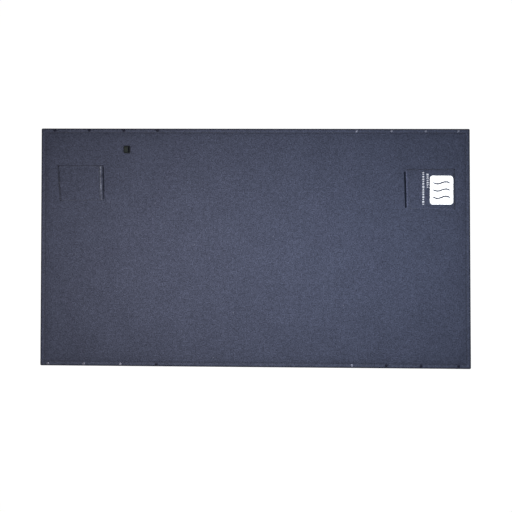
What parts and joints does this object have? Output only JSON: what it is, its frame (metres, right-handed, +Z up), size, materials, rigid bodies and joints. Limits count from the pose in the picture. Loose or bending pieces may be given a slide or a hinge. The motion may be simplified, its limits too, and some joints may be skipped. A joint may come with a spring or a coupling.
{
  "type": "infrared sauna blanket",
  "caption": "Flat wearable far-infrared heated blanket of navy fleece, with patch pockets, press studs along two edges and a small keyed controller.",
  "frame": {"origin": "centre of the blanket on the surface that it lies on", "axes": "+X along the length, +Y across the width towards the edge near the controller, +Z up through the pocket face"},
  "size_m": [1.44, 0.8, 0.0167],
  "materials": {
    "fleece": "brushed navy fleece",
    "wadding": "matte wadding",
    "scrim": "non-woven grey",
    "heating_wire": "matte sheath over carbon fibre",
    "lead": "matte sheath",
    "cutoff": "matte",
    "print_white": "matte heat-transfer film",
    "print_grey": "matte heat-transfer film",
    "black_plastic": "fine matte",
    "key_rubber": "matte silicone",
    "board": "solder mask",
    "light_guide": "smoked, glossy",
    "dark_cap": "satin paint",
    "bare_metal": "aged nickel plate"
  },
  "bodies": {
    "left_half": {"back_cover_left": "fleece", "controller_base": "black_plastic", "controller_board": "board", "controller_housing": "black_plastic", "controller_lights": "light_guide", "front_cover_left": "fleece", "heater_scrim_left": "scrim", "heating_wire_left_lower": "heating_wire", "heating_wire_left_upper": "heating_wire", "power_inlet": "black_plastic", "power_pocket": "fleece", "snap_bl1_post": "bare_metal", "snap_bl1_stud": "bare_metal", "snap_bl2_post": "bare_metal", "snap_bl2_stud": "bare_metal", "snap_bl3_post": "bare_metal", "snap_bl3_stud": "bare_metal", "snap_bl4_cap": "dark_cap", "snap_bl4_socket": "bare_metal", "snap_tl1_cap": "dark_cap", "snap_tl1_socket": "bare_metal", "snap_tl2_cap": "dark_cap", "snap_tl2_socket": "bare_metal", "snap_tl3_cap": "dark_cap", "snap_tl3_socket": "bare_metal", "snap_tl4_cap": "dark_cap", "snap_tl4_socket": "bare_metal", "supply_lead_left": "lead", "thermal_cutoff_left": "cutoff", "wadding_left": "wadding"},
    "right_half": {"back_cover_right": "fleece", "front_cover_right": "fleece", "hand_pocket": "fleece", "heater_scrim_right": "scrim", "heating_wire_right_lower": "heating_wire", "heating_wire_right_upper": "heating_wire", "pocket_badge": "print_white", "pocket_stripe_1": "print_grey", "pocket_stripe_2": "print_grey", "snap_br1_cap": "dark_cap", "snap_br1_socket": "bare_metal", "snap_br2_cap": "dark_cap", "snap_br2_socket": "bare_metal", "snap_br3_cap": "dark_cap", "snap_br3_socket": "bare_metal", "snap_br4_post": "bare_metal", "snap_br4_stud": "bare_metal", "snap_tr1_post": "bare_metal", "snap_tr1_stud": "bare_metal", "snap_tr2_post": "bare_metal", "snap_tr2_stud": "bare_metal", "snap_tr3_post": "bare_metal", "snap_tr3_stud": "bare_metal", "snap_tr4_post": "bare_metal", "snap_tr4_stud": "bare_metal", "supply_lead_right": "lead", "thermal_cutoff_right": "cutoff", "wadding_right": "wadding"},
    "key": {"controller_key": "key_rubber"}
  },
  "joints": [
    {"name": "centre_fold", "type": "hinge", "parent": "left_half", "child": "right_half", "pos_m": [0, 0, 0.01], "axis": [0, -1, 0], "range_deg": [0, 178]},
    {"name": "key_press", "type": "slide", "parent": "left_half", "child": "key", "axis": [0, 0, -1], "range_m": [0, 0.0008], "stiffness_N_per_m": 600, "springref_m": -0.0005}
  ]
}
